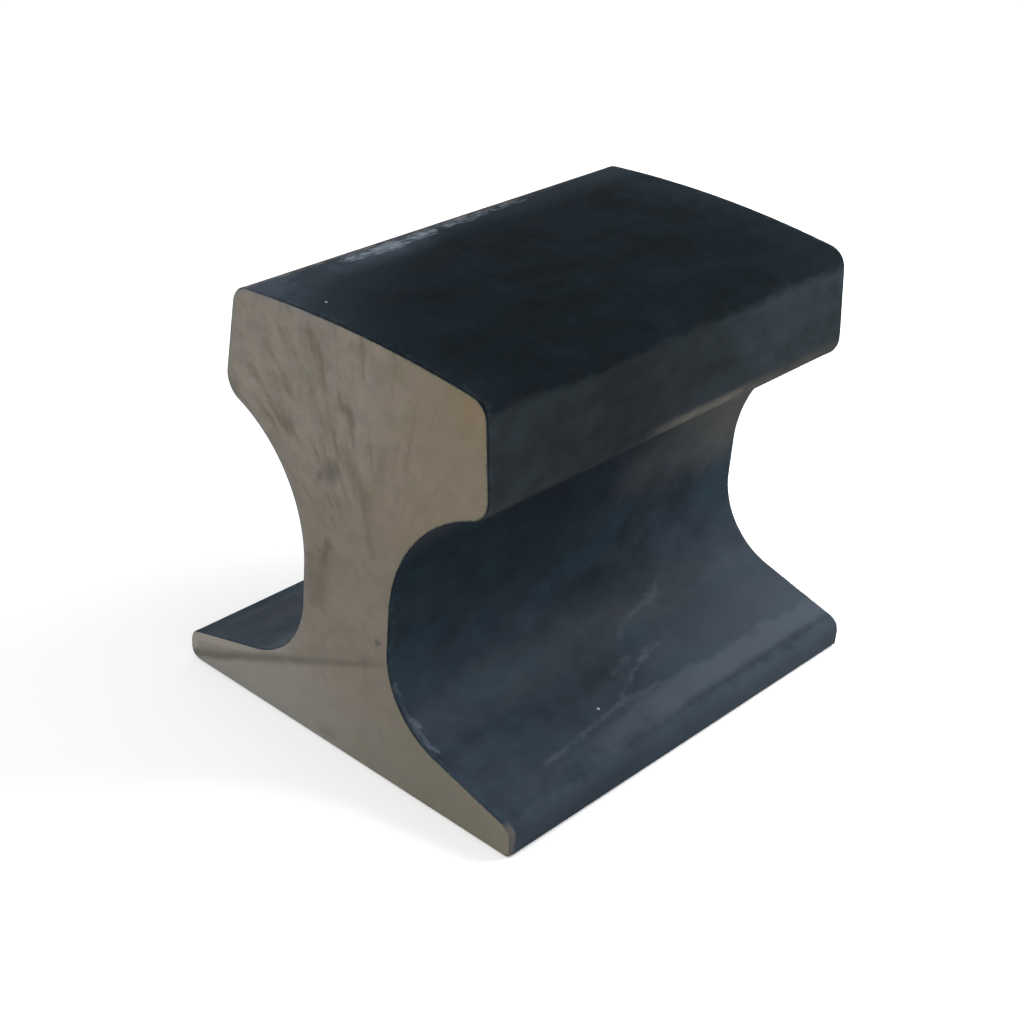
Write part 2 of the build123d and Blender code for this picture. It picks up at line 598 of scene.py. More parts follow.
    def worn_corner():
        """Moves the foot's left low corner in at the near end, so that it is rounder there."""
        x, y, z = tree.parts(tree.scaled(position, 1 / MM))
        away = tree.vector("DISTANCE", tree.combine(x, 0.0, z), (-HALF_FOOT / MM, 0.0, 0.0))
        share = tree.ease(away, *CORNER_WEAR_AWAY) * tree.ease(y, *CORNER_WEAR_ALONG) * math.sqrt(0.5)
        inward = share * tree.other(half, "Corner Wear")
        return tree.combine(inward, 0.0, inward)

    def relief():
        """How deep each point of the skin lies below the plain section."""
        place = tree.scaled(position, 1 / MM)
        _, y, _ = tree.parts(place)
        sawn = read("sawn", "BOOLEAN")
        inside = tree.ease(END - abs(y), *ENDS_CLEAR)
        rolled_depth = roll_waves(tree, place) * tree.other(half, "Roll Wave Depth")
        rolled_depth = rolled_depth + pits(tree, place) * tree.other(half, "Pit Depth")
        rolled_depth = rolled_depth + scrape(tree, place) * tree.other(half, "Scrape Depth")
        fan, streaked = saw_fan(tree, place)
        waves = tree.noise(fan, *SAW_WAVE_NOISE) * streaked
        height, on_line = saw_step(tree, place)
        step = tree.ease(height, *SAW_STEP_FACE) * tree.ease(height, *SAW_STEP_RUN_OUT) * on_line
        sawn_depth = waves * tree.other(half, "Saw Wave Depth") + step * tree.other(half, "Saw Step Depth")
        sawn_depth = sawn_depth * tree.ease(read("rim", "FLOAT"), *RIM_CLEAR)
        return sawn * sawn_depth + (1 - sawn) * inside * rolled_depth

    rolled = joined([flipped(flank(1)), flank(-1), flipped(underside())])
    sawn = joined([flipped(end_face(-1)), end_face(1)])
    sawn = stored(sawn, "sawn", "BOOLEAN", "FACE", True)
    sawn = stored(sawn, "rim", "FLOAT", "POINT", rim_distance())
    skin = tree.node(
        "GeometryNodeMergeByDistance", sockets={"Geometry": joined([rolled, sawn]), "Distance": SAME_PLACE}
    )
    skin = tree.node("GeometryNodeSetPosition", sockets={"Geometry": skin, "Offset": worn_corner()})
    inward = tree.scaled(tree.node("GeometryNodeInputNormal"), -relief())
    skin = tree.node("GeometryNodeSetPosition", sockets={"Geometry": skin, "Offset": inward})
    fold = tree.math("GREATER_THAN", tree.node("GeometryNodeInputMeshEdgeAngle"), SHARP_EDGE)
    smooth = {"Geometry": skin, "Shade Smooth": True}
    skin = tree.node("GeometryNodeSetShadeSmooth", {"domain": "FACE"}, smooth)
    folded = {"Geometry": skin, "Selection": fold, "Shade Smooth": False}
    skin = tree.node("GeometryNodeSetShadeSmooth", {"domain": "EDGE"}, folded)
    skin = tree.node("GeometryNodeRealizeInstances", sockets={"Geometry": skin})
    all_over = {"Geometry": skin, "Material": tree.other(half, "Rolled Finish")}
    skin = tree.node("GeometryNodeSetMaterial", sockets=all_over)
    is_sawn = read("sawn", "BOOLEAN")
    on_ends = {"Geometry": skin, "Selection": is_sawn, "Material": tree.other(half, "Sawn Finish")}
    skin = tree.node("GeometryNodeSetMaterial", sockets=on_ends)
    tree.node("NodeGroupOutput", sockets={"Skin": skin})
    return group


def rail_skin(rolled, sawn):
    """The rail's visible skin as a plain mesh."""
    curve, side_rows, crown_rows = half_section_curve()
    maker = bpy.data.objects.new("half_section", curve)
    bpy.context.scene.collection.objects.link(maker)
    group = skin_tree()
    modifier = maker.modifiers.new("rail_skin", "NODES")
    modifier.node_group = group
    counts = dict(zip(SKIN_COUNTS, (side_rows, crown_rows, COLUMNS_ALONG)))
    values = {**SKIN_SIZES, **counts, "Rolled Finish": rolled, "Sawn Finish": sawn}
    for socket in group.interface.items_tree:
        if socket.name in values:
            modifier[socket.identifier] = values[socket.name]
    evaluated = maker.evaluated_get(bpy.context.evaluated_depsgraph_get())
    mesh = bpy.data.meshes.new_from_object(evaluated)
    mesh.materials.pop(index=0)     # the sheets' own empty slot
    bpy.data.objects.remove(maker)
    rail = bpy.data.objects.new("rail", mesh)
    bpy.context.scene.collection.objects.link(rail)
    return rail


# Finishes

CROWN_BLACK = tint("0b1113")
CROWN_SOOT = tint("131b21")
CROWN_VEIL = tint("252d34")
CROWN_DUST = tint("424955")
HEAD_DARK = tint("22282b")
HEAD_LIGHT = tint("30373c")
WEB_DARK = tint("1e262d")
WEB_LIGHT = tint("2a333b")
WEB_TEAL = tint("273a45")
FOOT_DARK = tint("242d37")
FOOT_LIGHT = tint("333d47")
FOOT_DUST_AND_LIGHT = tint("4a535c")
UNDER_HEAD_REFLECTION = tint("3f3c39")
SOLE_RUST = tint("3f342c")
HOLLOW_PAINTED_LIGHT = tint("4b4b49")
EDGE_PALE = tint("706d66")
BARE_SCUFF = tint("626e7b")
WORN_STEEL = tint("6d7681")
WORN_TIP = tint("66645f")
SPECK = tint("b4bcc0")

SAWN_TAN = tint("81786e")
SAWN_ROSE = tint("7a706b")
SAWN_MOSS = tint("736f62")
SAWN_WARM = tint("776a57")
SAWN_BROWN = tint("685e52")
SAWN_DARK = tint("544c43")
SAWN_LIGHT = tint("908980")
SAWN_COOL = tint("807e77")
SAWN_DIM = tint("646155")
SAWN_BLUE = tint("717372")
SAWN_GREEN = tint("6d6b58")
SAWN_OCHRE = tint("7c6b4c")
SAWN_STAIN = tint("5a5146")
SAWN_SPOT = tint("52514a")
SAWN_LINE_SHADE = tint("504f46")

# Soft strokes: start, end, half width and strength
FOOT_SCUFFS = (
    ((64.1, -16, 17.7), (58.9, -5, 19.1), 0.9, 0.4),
    ((58.9, -5, 19.1), (55.1, 6, 20.1), 0.9, 0.5),
    ((55.1, 6, 20.1), (52.3, 13, 20.8), 1.3, 0.65),
    ((52.3, 13, 20.8), (52.6, 19, 20.8), 1.5, 0.5),
    ((53.5, -10, 20.5), (51.5, 2, 21.1), 1.3, 0.3),
    ((42.2, 8, 24.0), (38.1, 15, 26.2), 1.1, 0.28),
    ((38.1, 15, 26.2), (35.9, 34, 27.6), 1.0, 0.32),
    ((36.2, 33, 27.4), (34.6, 38, 28.6), 2.2, 0.45),
    ((35.9, 34, 27.6), (32.9, 41, 30.1), 1.2, 0.3),
    ((70.6, -66, 15.9), (65.7, -19, 17.2), 1.1, 0.5),
    ((65.7, -19, 17.2), (67.3, 3, 16.8), 1.5, 0.55),
    ((69.7, 5, 16.1), (76.4, 9, 14.3), 0.9, 0.85),
    ((76.4, 9, 14.3), (78.8, 16, 13.7), 0.9, 0.85),
    ((-60.0, 30, 18.7), (-47.0, -8, 22.4), 1.4, 0.5),
    ((-74.0, 58, 15.0), (-66.0, 12, 17.1), 1.3, 0.5),
)
EDGE_CHIPS = (
    ((33.2, -97.2, 29.9), (35.4, -96.4, 28.0), 1.2, 0.5),
    ((35.4, -97.2, 28.0), (42.0, -97.6, 24.2), 0.9, 0.35),
    ((42.0, -97.6, 24.2), (44.6, -96.8, 23.1), 1.1, 0.48),
    ((33.2, -97.8, 29.9), (26.2, -98.2, 38.6), 0.9, 0.28),
    ((26.2, -98.2, 38.6), (24.8, -98.0, 41.6), 0.9, 0.35),
)
CROWN_PATCHES = (
    ((28, -82, 169.2), (29, -14, 169.2), 6.0, 0.55),
    ((43, -48, 168.1), (46, -27, 167.9), 6.0, 0.65),
    ((4, -14, 170.0), (4, 2, 170.0), 4.5, 0.6),
    ((15, 32, 169.8), (16, 48, 169.7), 6.0, 0.65),
    ((36, 60, 168.7), (38, 75, 168.6), 6.0, 0.5),
)
SAWN_SPOTS = (
    ((-10.0, -END, 112.6), (-9.2, -END, 114.4), 3.3, 0.75),
    ((-14.4, -END, 109.6), (-14.1, -END, 110.2), 1.8, 0.7),
    ((16.4, -END, 55.8), (17.2, -END, 56.4), 1.2, 1.0),
    ((11.0, -END, 45.5), (20.0, -END, 48.5), 2.2, 0.35),
    ((-10.0, -END, 4.0), (-4.0, -END, 4.5), 1.6, 0.3),
)
SAWN_STAINS = (
    ((-9.4, -END, 84.0), (-12.0, -END, 76.0), 2.2, 1.0),
    ((-11.5, -END, 79.0), (-14.5, -END, 60.0), 4.0, 0.7),
    ((-17.5, -END, 76.0), (-18.5, -END, 62.0), 2.6, 0.5),
    ((-3.0, -END, 124.0), (7.0, -END, 110.0), 3.4, 0.55),
    ((7.5, -END, 108.0), (12.5, -END, 90.0), 1.3, 0.5),
    ((-9.0, -END, 109.0), (-4.0, -END, 102.0), 1.4, 0.5),
    ((-44.0, -END, 151.0), (-31.0, -END, 138.0), 1.5, 0.5),
    ((-51.0, -END, 138.5), (-41.0, -END, 130.0), 1.7, 0.5),
    ((-36.0, -END, 128.0), (-31.0, -END, 122.0), 3.2, 0.4),
    ((-21.0, -END, 162.0), (-14.0, -END, 152.0), 3.0, 0.45),
    ((-28.0, -END, 151.0), (-23.0, -END, 142.0), 1.2, 0.35),
    ((-20.0, -END, 138.0), (-9.0, -END, 130.0), 3.6, 0.35),
    ((-1.5, -END, 141.0), (0.5, -END, 135.0), 1.9, 0.5),
    ((16.5, -END, 131.0), (12.5, -END, 119.0), 1.8, 0.4),
    ((29.0, -END, 153.0), (26.5, -END, 128.0), 1.2, 0.3),
)
# Light specks: place and radius
SPECKS = (
    ((62.9, -28.5, 18.0), 0.7),
    ((-24.0, -90.0, 169.4), 0.6),
    ((-36.5, 61.0, 27.6), 0.6),
)

# Ramps that place the rolled faces' finish, in millimetres across (x), along (y) or up (z). From its first
# value to its second a ramp goes from 0 to 1, or from its third value to its fourth.
NEAR_END = (6.5, 0.5)           # from the sawn ends
HEAD_UP = (116, 128)
FOOT_UP = (70, 22)
CROWN_UP = (159.2, 163.6)
SOLE_UP = (1.6, 0.4)
# Strength of the painted shade on the flank, going up
FLANK_SHADE_UP = (30, 80, 0.2, 0.38)
UNDER_HEAD_FROM = (90, 112)
UNDER_HEAD_TO = (134, 126)
WARM_REFLECTION_MIDDLE = -30               # y with the least painted warm reflection under the head
WARM_REFLECTION_ALONG = (30, 110, 0.2, 1.0)            # from that middle
FAR_HOLLOW_ALONG = (8, 95)
# Painted light on the foot, brightening it towards the far end
LIT_VEIL_ALONG = (-30, 105, 0.0, 0.5)
LIT_VEIL_UP = (29, 15)
LIT_VEIL_OUT = (1.5, -2.0, 0.5, 1.0)       # from the band's outer side
DUST_BAND_INNER = (-60, 0, 73.0, 68.0)      # along, with the x of the band's inner side at each end
DUST_BAND_OUTER = (-20, 15, 82.0, 79.5)     # and of its outer side
DUST_BAND_IN = (-3.0, 2.5)                  # from the inner side
DUST_BAND_OUT = (2.0, -3.0)                 # from the outer side
DUST_BAND_ALONG = (-90, 40, 0.05, 0.8)
DUST_BAND_UP = (22, 18)
DUST_BAND_ACROSS = (-5, 5, 0.4, 1.0)        # less of it on the left
DUST_EDGE_ACROSS = (78.5, 83.5)
DUST_EDGE_ALONG = (-60, 95, 0.3, 0.5)
DUST_OFF_SOLE = (0.3, 2.0)
CROWN_VEIL_SLANT = (-28, -75)
CROWN_VEIL_ACROSS = (-34, -52)
CROWN_VEIL_NEAR = (-75, -100)
CROWN_VEIL_FAR = (60, 115)
CROWN_VEIL_FADE = (60, -10, 0.2, 0.45)
CROWN_DUST_SLANT = (-68, -105)
CROWN_DUST_LINE = ((-47, -62, 167.8), (-47, -26, 167.8))
CROWN_DUST_AWAY = (13, 1, 0.0, 0.6)         # from that line
TOP_EDGE_ACROSS = (-51.5, -54.5)
TOP_EDGE_UP = (158, 162)
TOP_EDGE_ALONG = (85, 20)
# Painted highlight along the head's lower round
LOW_EDGE_FROM = (124.0, 127.5)
LOW_EDGE_TO = (132.6, 128.8)
LOW_EDGE_NEAR = (-25, 8, 0.04, 1.0)
LOW_EDGE_FAR = (25, 65, 1.0, 0.25)
LOW_EDGE_ACROSS = (50, 58)
TIP_ACROSS = (79, 84)
TIP_UP = (16, 11)
TIP_ALONG = (-97.2, -98.6)
SHEEN_UP = (50, 15)
SHEEN_ACROSS = (84, 74)

# Spans of the rolled faces' finish: middle, half width and soft margin, in millimetres
# Painted shade along the middle of the flank, lifted by painted light low on the web towards the near end
# and deepened there further along
FLANK_SHADE_ALONG = (-20, 0, 90)
LIT_HOLLOW_UP = (45, 3, 14)
LIT_HOLLOW_ALONG = (-55, 20, 40)
SHADED_HOLLOW_UP = (36, 6, 12)
SHADED_HOLLOW_ALONG = (22, 20, 35)
# Painted light in the hollow under the head, towards the far end
FAR_HOLLOW_UP = (95, 14, 24)

# Ramps that place the sawn ends' finish, in the same way
WARM_ACROSS = (-10, 50)
WARM_UP = (60, 100)
COOL_UP = (45, 8)
COOL_ACROSS = (20, -30, 0.3, 0.8)
DIM_ACROSS = (-50, 60)
DIM_UP = (65, 30)
BROWN_UP = (74, 20, 30)         # a span, as above
BROWN_ACROSS = (60, 25)
ROUGH_ACROSS = (32, -5, 0.15, 1.0)
BLUE_IN = (4.5, 0.5)            # from the rim
BLUE_ACROSS = (0, -25)
GREEN_IN = (3.0, 0.8)           # from the rim
GREEN_ACROSS = (10, 30)
OCHRE_PLACE = (57, -END, 163)
OCHRE_AWAY = (18, 4)
FRINGE_IN = (2.2, 1.0)          # from the rim, with its nicks
FRINGE_MORE = (10, 45)          # across and up, where the fringe is wider
# Painted highlight and painted shade where two cuts meet
CUT_HIGHLIGHT_IN = (5.0, 3.0)        # from the rim
CUT_HIGHLIGHT_ABOVE = (1.5, 4.0)     # above the line where two cuts meet
CUT_HIGHLIGHT_ACROSS = (-25, -40)
CUT_HIGHLIGHT_UP = (40, 25)
CUT_SHADE_ABOVE = (-2.0, 0.4)
CUT_SHADE_WIDTH = (10, -80, 2.8, 4.6)       # across, with the shade's width at each end
CUT_SHADE_ACROSS = (15, -70, 0.6, 0.8)
HUE_SHIFT = (300, 0, 0)         # keeps the hue's pattern apart from the others

# Gloss and grain
NOISE_SPAN = (0.3, 0.7)         # most of a noise pattern lies in this span
DULL_ROUGHNESS = (0.62, 0.8)
DULL_SPECULAR = 0.015
SHEEN_ROUGHNESS = (0.42, 0.6)
SHEEN_SPECULAR = 0.1
SHEEN_SHARE = 0.6
SCALE_BUMP = 0.5
SCALE_BUMP_DEPTH = 0.1 * MM
SAWN_ROUGHNESS = (0.5, 0.68)
SAWN_SPECULAR = 0.15
SAWN_BUMP = 0.4
SAWN_BUMP_DEPTH = 0.08 * MM


def new_finish(name):
    material = bpy.data.materials.new(name)
    material.use_nodes = True
    material.node_tree.nodes.clear()
    return material, Tree(material.node_tree)


def millimetres(tree):
    return tree.scaled(tree.node("ShaderNodeTexCoord", output="Object"), 1 / MM)


def surface(tree, shader):
    tree.node("ShaderNodeOutputMaterial", sockets={"Surface": shader})


def foot_dust_and_light(tree, place, mottle):
    """0 to 1 in the dust on the foot and painted light on it: a veil of painted light that grows towards the
    far end, a pale band of dust and the edge.
    """
    x, y, z = tree.parts(place)
    veil = tree.ease(y + mottle * 60, *LIT_VEIL_ALONG) * tree.ease(z + mottle * 14, *LIT_VEIL_UP)
    inner = tree.ease(y, *DUST_BAND_INNER) + mottle * 10
    outer = tree.ease(y, *DUST_BAND_OUTER) + mottle * 4
    band = tree.ease(abs(x) - inner, *DUST_BAND_IN) * tree.ease(abs(x) - outer, *DUST_BAND_OUT)
    band = band * tree.ease(y + mottle * 90, *DUST_BAND_ALONG) * tree.ease(z, *DUST_BAND_UP)
    band = band * tree.ease(x, *DUST_BAND_ACROSS)
    veil = veil * tree.ease(abs(x) - outer, *LIT_VEIL_OUT)
    edge = tree.ease(abs(x) + mottle * 10, *DUST_EDGE_ACROSS) * tree.ease(y, *DUST_EDGE_ALONG)
    return tree.larger(tree.larger(veil, band), edge) * tree.ease(z, *DUST_OFF_SOLE)


def rolled_finish():
    """Mill scale: black and dull on the crown, bluish below it, with dust, rust, scuffs and a scrape, and
    with painted shade, painted light, a painted highlight and a painted warm reflection on the flank and
    foot.
    """
    material, tree = new_finish("rolled_scale")
    place = millimetres(tree)
    x, y, z = tree.parts(place)
    drawn = along_rail(tree, place, FINE_DRAW)
    cloud = tree.noise(along_rail(tree, place, CLOUD_DRAW), *CLOUD_NOISE)
    blotch = tree.noise(place, *BLOTCH_NOISE)
    streaks = tree.noise(drawn, *STREAK_NOISE)
    ragged = tree.noise(along_rail(tree, place, RAGGED_DRAW), *RAGGED_NOISE)
    grain = tree.noise(place, *GRAIN_NOISE)
    mottle = blotch - 0.5
    tone = tree.ease(streaks * 0.2 + cloud * 0.5 + blotch * 0.3, 0.34, 0.66)
    near_end = tree.ease(END - abs(y), *NEAR_END)

    # Side of the head, web and foot
    on_head = tree.ease(z, *HEAD_UP)
    on_foot = tree.ease(z + (cloud - 0.5) * 20, *FOOT_UP)
    dark = tree.mix(on_foot, tree.mix(on_head, WEB_DARK, HEAD_DARK), FOOT_DARK)
    light = tree.mix(on_foot, tree.mix(on_head, WEB_LIGHT, HEAD_LIGHT), FOOT_LIGHT)
    flank = tree.mix(tone, dark, light)
    teal = tree.ease(tree.noise(along_rail(tree, place, TEAL_DRAW), *TEAL_NOISE), 0.48, 0.68)
    flank = tree.mix(teal * (1 - on_head) * 0.5, flank, WEB_TEAL)
    drift = y + (cloud - 0.5) * 60
    # Painted shade: the flank goes towards black along the middle of the rail, less so where painted light
    # lifts it low on the web
    flank_shade = tree.within(drift, *FLANK_SHADE_ALONG) * tree.ease(z, *FLANK_SHADE_UP)
    lit_hollow = tree.within(z + mottle * 12, *LIT_HOLLOW_UP) * tree.within(drift, *LIT_HOLLOW_ALONG)
    shaded_hollow = tree.within(z + mottle * 12, *SHADED_HOLLOW_UP) * tree.within(drift, *SHADED_HOLLOW_ALONG)
    flank_shade = tree.larger(flank_shade * (1 - lit_hollow * 0.8), shaded_hollow * 0.34)
    flank = tree.mix(flank_shade, flank, CROWN_BLACK)
    # Painted reflection: a warm brown of the ground reflected in the hollow under the head, broken into
    # streaks
    under_head = tree.ease(z, *UNDER_HEAD_FROM) * tree.ease(z, *UNDER_HEAD_TO)
    warm_reflection = tree.ease(streaks * 0.5 + cloud * 0.5, 0.36, 0.6) * tree.ease(abs(y - WARM_REFLECTION_MIDDLE), *WARM_REFLECTION_ALONG)
    flank = tree.mix(under_head * warm_reflection * 0.8, flank, UNDER_HEAD_REFLECTION)
    # Painted light: a pale brown-grey towards the far end of the hollow under the head, standing in for
    # light and the ground's reflection falling in there
    far_hollow_light = tree.within(z + mottle * 14, *FAR_HOLLOW_UP)
    far_hollow_light = far_hollow_light * tree.ease(y + (cloud - 0.5) * 50, *FAR_HOLLOW_ALONG)
    flank = tree.mix(far_hollow_light * 0.75, flank, HOLLOW_PAINTED_LIGHT)
    # Dust on the foot, and painted light that brightens the foot towards the far end
    dust_and_light = foot_dust_and_light(tree, place, mottle)
    wispy = tree.jogged(place, *WISPY_JOG)
    scuffs = tree.smudge(wispy, FOOT_SCUFFS)
    dust_and_light = tree.larger(dust_and_light, scuffs * tree.ease(ragged, 0.34, 0.58, 0.4, 1.0))
    flank = tree.mix(dust_and_light * tree.ease(grain, 0.2, 0.6, 0.8, 1.0), flank, FOOT_DUST_AND_LIGHT)

    # Crown
    crown = tree.mix(tone, CROWN_BLACK, CROWN_SOOT)
    veil = tree.ease(x * 0.7 + y * 0.45 + mottle * 20, *CROWN_VEIL_SLANT)
    veil = veil + tree.ease(x + mottle * 12, *CROWN_VEIL_ACROSS) * 0.6 + tree.ease(y, *CROWN_VEIL_NEAR) * 0.2
    veil = veil + tree.ease(y + mottle * 40, *CROWN_VEIL_FAR) * tree.ease(x, *CROWN_VEIL_FADE)
    crown = tree.mix(veil, crown, CROWN_VEIL)
    blurred = tree.jogged(place, *CROWN_JOG)
    crown = tree.mix(tree.smudge(blurred, CROWN_PATCHES), crown, CROWN_BLACK)
    beside = tree.stroke(blurred, *CROWN_DUST_LINE)
    dusty = tree.larger(tree.ease(x + y * 0.5, *CROWN_DUST_SLANT), tree.ease(beside, *CROWN_DUST_AWAY))
    crown = tree.mix(dusty * tree.ease(blotch, 0.32, 0.62, 0.25, 0.9), crown, CROWN_DUST)
    on_crown = tree.ease(z + (streaks - 0.5) * 6 + (ragged - 0.5) * 3.5, *CROWN_UP)
    colour = tree.mix(on_crown, flank, crown)

    # Wear
    gouge = scrape(tree, place)
    colour = tree.mix(gouge, colour, WORN_STEEL)
    top_edge = tree.ease(x, *TOP_EDGE_ACROSS) * tree.ease(z, *TOP_EDGE_UP)
    top_edge = top_edge * tree.ease(y + mottle * 60, *TOP_EDGE_ALONG)
    colour = tree.mix(top_edge * tree.ease(ragged, 0.4, 0.62, 0.1, 0.5), colour, EDGE_PALE)
    # Painted highlight along the head's lower round, where it catches the light, thin and ragged
    low_edge_highlight = tree.ease(z + (ragged - 0.5) * 3, *LOW_EDGE_TO) * tree.ease(z, *LOW_EDGE_FROM)
    low_edge_highlight = low_edge_highlight * tree.ease(y, *LOW_EDGE_NEAR) * tree.ease(y, *LOW_EDGE_FAR)
    low_edge_highlight = low_edge_highlight * tree.ease(abs(x), *LOW_EDGE_ACROSS)
    colour = tree.mix(low_edge_highlight * tree.ease(ragged, 0.3, 0.6, 0.3, 0.65), colour, EDGE_PALE)
    sole = tree.ease(z, *SOLE_UP) * tree.ease(cloud * 0.6 + blotch * 0.4, 0.4, 0.62)
    colour = tree.mix(sole * 0.75, colour, SOLE_RUST)
    chips = tree.ease(tree.noise(place, *CHIP_NOISE) + near_end * 0.22, 0.68, 0.88) * 0.08
    chips = tree.larger(chips, tree.smudge(wispy, EDGE_CHIPS) * tree.ease(grain, 0.35, 0.55, 0.4, 1.0))
    colour = tree.mix(chips, colour, BARE_SCUFF)
    tip = tree.ease(x, *TIP_ACROSS) * tree.ease(z, *TIP_UP) * tree.ease(y + mottle * 2, *TIP_ALONG)
    colour = tree.mix(tip * 0.75, colour, WORN_TIP)
    for middle, radius in SPECKS:
        speck = tree.ease(tree.vector("DISTANCE", place, middle), radius, radius * 0.4)
        colour = tree.mix(speck, colour, SPECK)

    height = blotch * 0.5 + grain * 0.5 + gouge * 0.8
    bump = {"Strength": SCALE_BUMP, "Distance": SCALE_BUMP_DEPTH, "Height": height}
    normal = tree.node("ShaderNodeBump", None, bump)
    dull = tree.node("ShaderNodeBsdfPrincipled", None, {
        "Base Color": colour,
        "Roughness": tree.ease(grain, *NOISE_SPAN, *DULL_ROUGHNESS),
        "Specular IOR Level": DULL_SPECULAR,
        "Normal": normal,
    })
    sheen = tree.node("ShaderNodeBsdfPrincipled", None, {
        "Base Color": colour,
        "Roughness": tree.ease(streaks, *NOISE_SPAN, *SHEEN_ROUGHNESS),
        "Specular IOR Level": SHEEN_SPECULAR,
        "Normal": normal,
    })
    low = tree.ease(z, *SHEEN_UP) * tree.ease(abs(x), *SHEEN_ACROSS) * SHEEN_SHARE
    glossy = tree.larger(low * (1 - on_crown), gouge)
    surface(tree, tree.node("ShaderNodeMixShader", None, {0: glossy, 1: dull, 2: sheen}))
    return material


def sawn_finish():
    """Sawn steel gone dull: a warm grey with the saw's streaks, cooler at the left and foot, and stained,
    with a painted highlight and painted shade where two cuts meet.
    """
    material, tree = new_finish("sawn_steel")
    place = millimetres(tree)
    x, _, z = tree.parts(place)
    fan, streaked = saw_fan(tree, place)
    rim = tree.node("ShaderNodeAttribute", {"attribute_name": "rim"}, output="Fac")
    streaks = tree.noise(fan, *SAW_STREAK_NOISE)
    lines = tree.noise(fan, *SAW_LINE_NOISE)
    grain = tree.noise(place, *SAWN_GRAIN_NOISE)
    cloud = tree.noise(place, *SAWN_CLOUD_NOISE)
    blotch = tree.noise(place, *SAWN_BLOTCH_NOISE)
    hue = tree.noise(tree.vector("ADD", place, HUE_SHIFT), *SAWN_HUE_NOISE)

    colour = tree.mix(tree.ease(hue, 0.4, 0.6), SAWN_ROSE, SAWN_MOSS)
    colour = tree.mix(tree.ease(blotch, 0.36, 0.6), colour, SAWN_TAN)
    warm = tree.ease(x + (cloud - 0.5) * 40, *WARM_ACROSS) * tree.ease(z, *WARM_UP)
    colour = tree.mix(warm * 0.7, colour, SAWN_WARM)
    colour = tree.mix(tree.ease(z, *COOL_UP) * tree.ease(x, *COOL_ACROSS), colour, SAWN_COOL)
    colour = tree.mix(tree.ease(x, *DIM_ACROSS) * tree.ease(z, *DIM_UP) * 0.75, colour, SAWN_DIM)
    brown = tree.within(z, *BROWN_UP) * tree.ease(abs(x), *BROWN_ACROSS)
    colour = tree.mix(brown * 0.42, colour, SAWN_BROWN)
    rough_side = tree.ease(x + (cloud - 0.5) * 30, *ROUGH_ACROSS) * streaked
    colour = tree.mix(tree.ease(streaks, 0.5, 0.72) * rough_side * 0.6, colour, SAWN_DARK)
    colour = tree.mix(tree.ease(streaks, 0.42, 0.26) * rough_side * 0.4, colour, SAWN_LIGHT)
    colour = tree.mix(tree.ease(lines, 0.5, 0.75) * streaked * 0.15, colour, SAWN_DARK)
    colour = tree.mix(tree.ease(grain, 0.45, 0.8) * 0.15, colour, SAWN_LIGHT)

    # Rim
    edge = rim + (cloud - 0.5) * 3
    colour = tree.mix(tree.ease(edge, *BLUE_IN) * tree.ease(x, *BLUE_ACROSS) * 0.5, colour, SAWN_BLUE)
    colour = tree.mix(tree.ease(edge, *GREEN_IN) * tree.ease(x, *GREEN_ACROSS) * 0.6, colour, SAWN_GREEN)
    corner = tree.vector("DISTANCE", place, OCHRE_PLACE)
    colour = tree.mix(tree.ease(corner, *OCHRE_AWAY) * 0.35, colour, SAWN_OCHRE)
    nicks = tree.noise(place, *NICK_NOISE) * 2.6 - tree.ease(x + z * 0.3, *FRINGE_MORE) * 0.3
    fringe = tree.ease(rim + nicks, *FRINGE_IN)
    colour = tree.mix(fringe * 0.8, colour, WEB_LIGHT)

    # Where two cuts meet: a painted highlight along the rim above the line, and painted shade along the
    # line, the shadow of its step
    above, on_line = saw_step(tree, place)
    cut_highlight = tree.ease(rim, *CUT_HIGHLIGHT_IN) * tree.ease(above, *CUT_HIGHLIGHT_ABOVE)
    cut_highlight = cut_highlight * tree.ease(x, *CUT_HIGHLIGHT_ACROSS) * tree.ease(z, *CUT_HIGHLIGHT_UP)
    colour = tree.mix(cut_highlight * 0.8, colour, SAWN_LIGHT)
    width = tree.ease(x, *CUT_SHADE_WIDTH)
    shade = tree.ease(above / width, 1.0, 0.1) * tree.ease(above, *CUT_SHADE_ABOVE) * on_line
    colour = tree.mix(shade * tree.ease(x, *CUT_SHADE_ACROSS), colour, SAWN_LINE_SHADE)

    # Spots and stains
    blurred = tree.jogged(place, *STAIN_JOG)
    colour = tree.mix(tree.smudge(blurred, SAWN_STAINS) * 0.8, colour, SAWN_STAIN)
    nearly = tree.vector("ADD", tree.scaled(place, 0.65), tree.scaled(blurred, 0.35))
    colour = tree.mix(tree.smudge(nearly, SAWN_SPOTS), colour, SAWN_SPOT)

    height = lines * 0.6 + grain * 0.4
    bump = {"Strength": SAWN_BUMP, "Distance": SAWN_BUMP_DEPTH, "Height": height}
    normal = tree.node("ShaderNodeBump", None, bump)
    surface(tree, tree.node("ShaderNodeBsdfPrincipled", None, {
        "Base Color": colour,
        "Roughness": tree.ease(streaks, *NOISE_SPAN, *SAWN_ROUGHNESS),
        "Specular IOR Level": SAWN_SPECULAR,
        "Normal": normal,
    }))
    return material


# Stage

